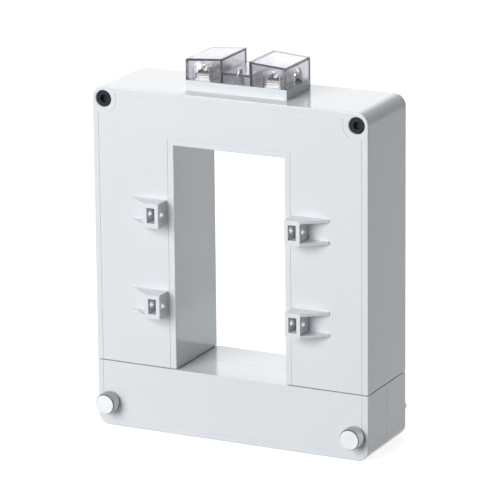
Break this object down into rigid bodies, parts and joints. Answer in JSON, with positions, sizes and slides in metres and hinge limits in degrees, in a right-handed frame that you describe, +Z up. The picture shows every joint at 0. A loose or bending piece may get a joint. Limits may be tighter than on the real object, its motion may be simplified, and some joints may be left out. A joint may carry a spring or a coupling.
{
  "type": "current transformer",
  "caption": "Split-core current transformer with a rectangular busbar window, thumb-screwed lower bar and a clear terminal cover.",
  "frame": {"origin": "centre of the face that the lower bar stands on", "axes": "+X to the right across the front, +Y from the front to the back, +Z up"},
  "size_m": [0.198, 0.0839, 0.2562],
  "materials": {
    "housing": "fine satin, light cool grey",
    "core_steel": "varnished laminations",
    "bobbin_plastic": "matt",
    "winding_tape": "enamelled copper",
    "lead_wire": "smooth sleeve",
    "pad_rubber": "matt",
    "plate_steel": "zinc plated",
    "nickel": "nickel plated, knurled",
    "washer_black": "matt",
    "zinc": "zinc plated",
    "screw_black": "black oxide",
    "terminal_metal": "nickel plated",
    "clamp_black": "blackened steel",
    "seal_metal": "nickel plated",
    "clear_cover": "clear, slightly smoky"
  },
  "bodies": {
    "lower_bar": {"lower_front_shell": "housing", "lower_back_shell": "housing", "core_yoke": "core_steel", "yoke_pad_left": "pad_rubber", "yoke_pad_right": "pad_rubber", "screw_washer_left": "washer_black", "screw_washer_right": "washer_black", "back_washer_left": "zinc", "back_washer_right": "zinc", "back_nut_left": "zinc", "back_nut_right": "zinc"},
    "upper_body": {"upper_case": "housing", "upper_back_cover": "housing", "core_u": "core_steel", "bobbin_left": "bobbin_plastic", "bobbin_right": "bobbin_plastic", "winding_left": "winding_tape", "winding_right": "winding_tape", "lead_left": "lead_wire", "lead_right": "lead_wire", "locking_plate_left": "plate_steel", "locking_plate_right": "plate_steel", "plate_pin_left": "plate_steel", "plate_pin_right": "plate_steel", "corner_screw_left": "screw_black", "corner_screw_right": "screw_black", "corner_nut_left": "zinc", "corner_nut_right": "zinc", "terminal_base": "housing", "terminal_strip_left": "terminal_metal", "terminal_strip_right": "terminal_metal", "clamp_plate_left_front": "clamp_black", "clamp_plate_left_back": "clamp_black", "clamp_plate_right_front": "clamp_black", "clamp_plate_right_back": "clamp_black"},
    "terminal_cover": {"terminal_cover": "clear_cover"},
    "thumb_screw_left": {"thumb_screw_left": "nickel"},
    "terminal_screw_left_front": {"terminal_screw_left_front": "terminal_metal"},
    "terminal_screw_left_back": {"terminal_screw_left_back": "terminal_metal"},
    "thumb_screw_right": {"thumb_screw_right": "nickel"},
    "terminal_screw_right_front": {"terminal_screw_right_front": "terminal_metal"},
    "terminal_screw_right_back": {"terminal_screw_right_back": "terminal_metal"},
    "seal_screw_front": {"seal_screw_front": "seal_metal"},
    "seal_screw_back": {"seal_screw_back": "seal_metal"}
  },
  "joints": [
    {"name": "body_lift", "type": "slide", "parent": "lower_bar", "child": "upper_body", "axis": [0, 0, 1], "range_m": [0, 0.06]},
    {"name": "cover_lift", "type": "slide", "parent": "upper_body", "child": "terminal_cover", "axis": [0, 0, 1], "range_m": [0, 0.03]},
    {"name": "thumb_screw_left_turn", "type": "hinge", "parent": "lower_bar", "child": "thumb_screw_left", "pos_m": [-0.0896, 0, 0.017], "axis": [0, 1, 0], "continuous": true},
    {"name": "terminal_screw_left_front_turn", "type": "hinge", "parent": "upper_body", "child": "terminal_screw_left_front", "pos_m": [-0.0253, -0.0085, 0.2458], "axis": [0, 0, 1], "continuous": true},
    {"name": "terminal_screw_left_back_turn", "type": "hinge", "parent": "upper_body", "child": "terminal_screw_left_back", "pos_m": [-0.0253, 0.0065, 0.2458], "axis": [0, 0, 1], "continuous": true},
    {"name": "thumb_screw_right_turn", "type": "hinge", "parent": "lower_bar", "child": "thumb_screw_right", "pos_m": [0.0896, 0, 0.017], "axis": [0, 1, 0], "continuous": true},
    {"name": "terminal_screw_right_front_turn", "type": "hinge", "parent": "upper_body", "child": "terminal_screw_right_front", "pos_m": [0.0253, -0.0085, 0.2458], "axis": [0, 0, 1], "continuous": true},
    {"name": "terminal_screw_right_back_turn", "type": "hinge", "parent": "upper_body", "child": "terminal_screw_right_back", "pos_m": [0.0253, 0.0065, 0.2458], "axis": [0, 0, 1], "continuous": true},
    {"name": "seal_screw_front_turn", "type": "hinge", "parent": "terminal_cover", "child": "seal_screw_front", "pos_m": [0, -0.0125, 0.2472], "axis": [0, 0, 1], "continuous": true},
    {"name": "seal_screw_back_turn", "type": "hinge", "parent": "terminal_cover", "child": "seal_screw_back", "pos_m": [0, 0.0125, 0.2472], "axis": [0, 0, 1], "continuous": true}
  ]
}
